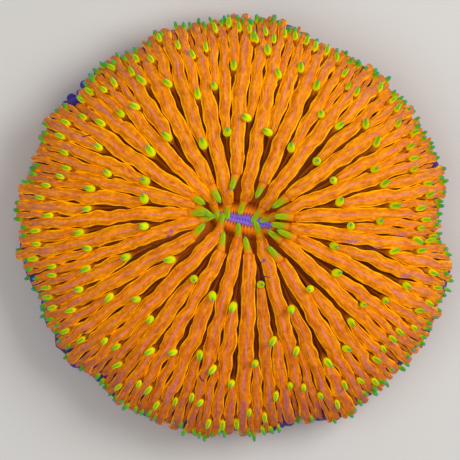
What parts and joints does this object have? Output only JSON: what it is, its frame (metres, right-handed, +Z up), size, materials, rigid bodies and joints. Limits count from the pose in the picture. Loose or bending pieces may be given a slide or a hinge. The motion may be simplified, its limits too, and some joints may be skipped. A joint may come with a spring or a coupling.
{
  "type": "mushroom coral",
  "caption": "Living mushroom coral: a low round plate of orange fleshy ridges that fan out from a slit mouth, each ending in a green tentacle.",
  "frame": {"origin": "middle of the bounding box's bottom, on the surface that the coral rests on", "axes": "+Z up, out of the mouth's side; +X to the right and +Y to the top of the reference picture, which looks straight down"},
  "size_m": [0.0398, 0.0392, 0.0111],
  "materials": {
    "coral_flesh": "satin"
  },
  "bodies": {
    "root": {"coral": "coral_flesh"}
  },
  "joints": []
}
